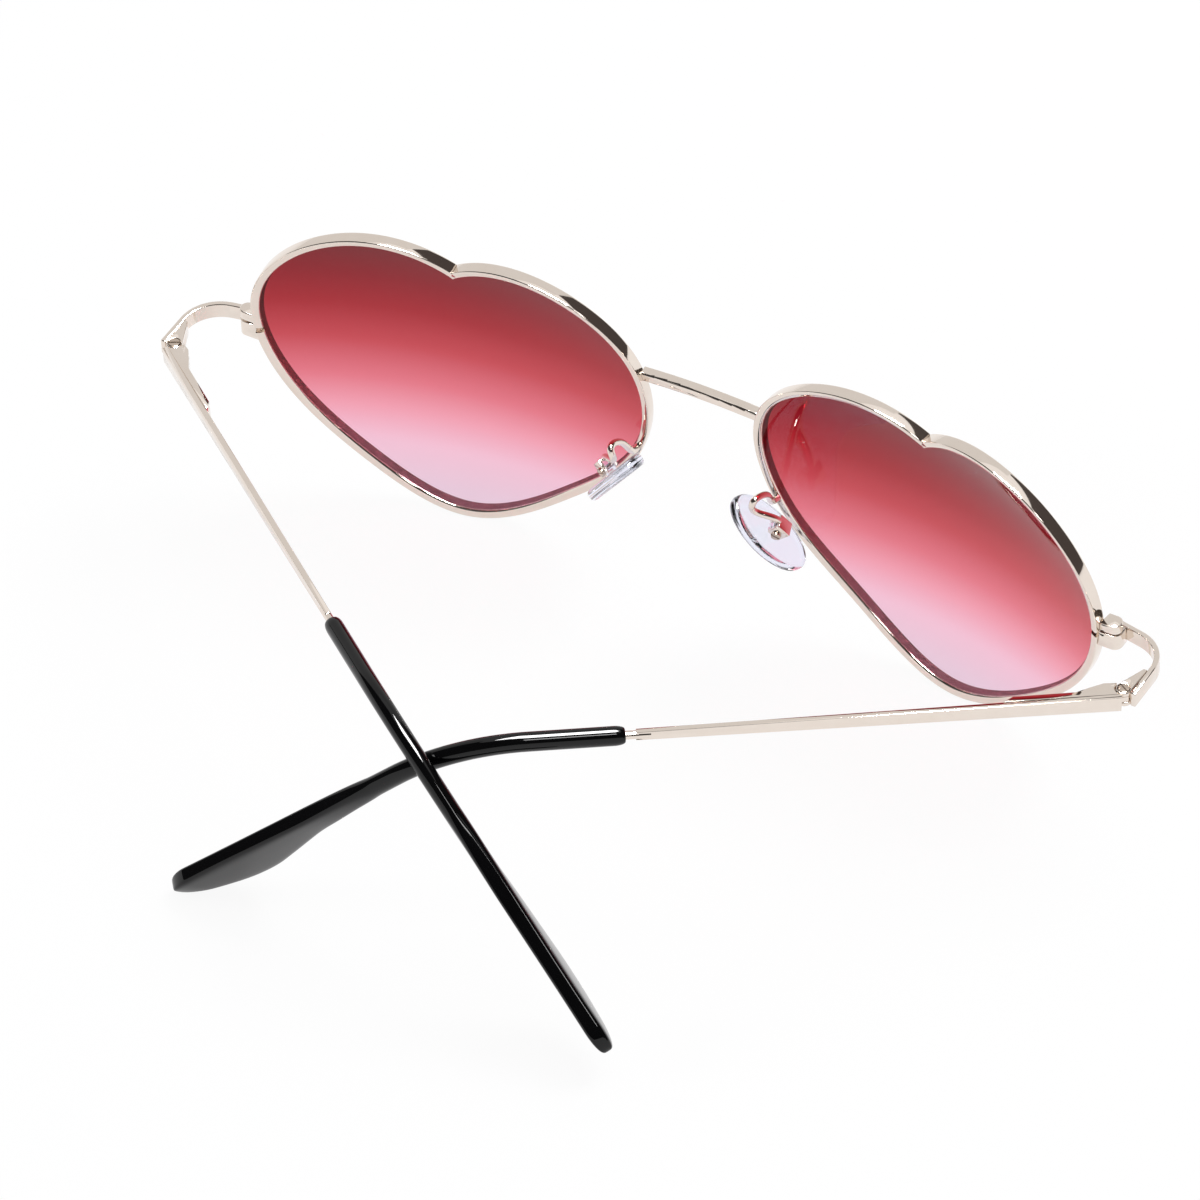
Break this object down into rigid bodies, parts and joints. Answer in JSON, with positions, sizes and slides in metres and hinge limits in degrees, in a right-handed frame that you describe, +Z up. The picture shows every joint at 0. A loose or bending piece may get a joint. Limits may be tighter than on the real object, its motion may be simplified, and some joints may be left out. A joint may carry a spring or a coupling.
{
  "type": "heart shaped sunglasses",
  "caption": "Metal framed sunglasses with heart shaped gradient lenses, rocking nose pads and folding arms with black tips, half folded and crossed.",
  "frame": {"origin": "on the surface under the middle of the whole part's bounding box", "axes": "+X to the wearer's left, lenses facing -Y, arms running back to +Y, +Z up"},
  "size_m": [0.1542, 0.0926, 0.0524],
  "materials": {
    "frame_metal": "polished pale gold",
    "screw_metal": "polished pale gold",
    "lens_tint": "clear gradient tint, burgundy above to pale rose below",
    "tip_plastic": "gloss black",
    "pad_plastic": "clear"
  },
  "bodies": {
    "front": {"bridge": "frame_metal", "left_rim": "frame_metal", "left_lens": "lens_tint", "left_closing_block_upper": "frame_metal", "left_closing_block_lower": "frame_metal", "left_closing_screw": "screw_metal", "left_end_piece": "frame_metal", "left_hinge_front": "frame_metal", "left_hinge_screw": "screw_metal", "left_pad_arm": "frame_metal", "left_pad_box": "frame_metal", "left_pad_screw": "screw_metal", "right_rim": "frame_metal", "right_lens": "lens_tint", "right_closing_block_upper": "frame_metal", "right_closing_block_lower": "frame_metal", "right_closing_screw": "screw_metal", "right_end_piece": "frame_metal", "right_hinge_front": "frame_metal", "right_hinge_screw": "screw_metal", "right_pad_arm": "frame_metal", "right_pad_box": "frame_metal", "right_pad_screw": "screw_metal"},
    "left_temple": {"left_hinge_leaf": "frame_metal", "left_arm": "frame_metal", "left_arm_tip": "tip_plastic"},
    "right_temple": {"right_hinge_leaf": "frame_metal", "right_arm": "frame_metal", "right_arm_tip": "tip_plastic"},
    "left_pad": {"left_nose_pad": "pad_plastic"},
    "right_pad": {"right_nose_pad": "pad_plastic"}
  },
  "joints": [
    {"name": "left_fold", "type": "hinge", "parent": "front", "child": "left_temple", "pos_m": [0.0751, -0.02609, 0.02872], "axis": [0, 0, 1], "range_deg": [-51.3, 19]},
    {"name": "right_fold", "type": "hinge", "parent": "front", "child": "right_temple", "pos_m": [-0.0751, -0.02609, 0.02872], "axis": [0, 0, -1], "range_deg": [-52.6, 30]},
    {"name": "left_pad_rock", "type": "hinge", "parent": "front", "child": "left_pad", "pos_m": [0.01346, -0.03945, 0.02167], "axis": [0.3177, 0.9377, -0.1404], "range_deg": [-6, 6]},
    {"name": "right_pad_rock", "type": "hinge", "parent": "front", "child": "right_pad", "pos_m": [-0.01346, -0.03945, 0.02167], "axis": [-0.3177, 0.9377, -0.1404], "range_deg": [-6, 6]}
  ]
}
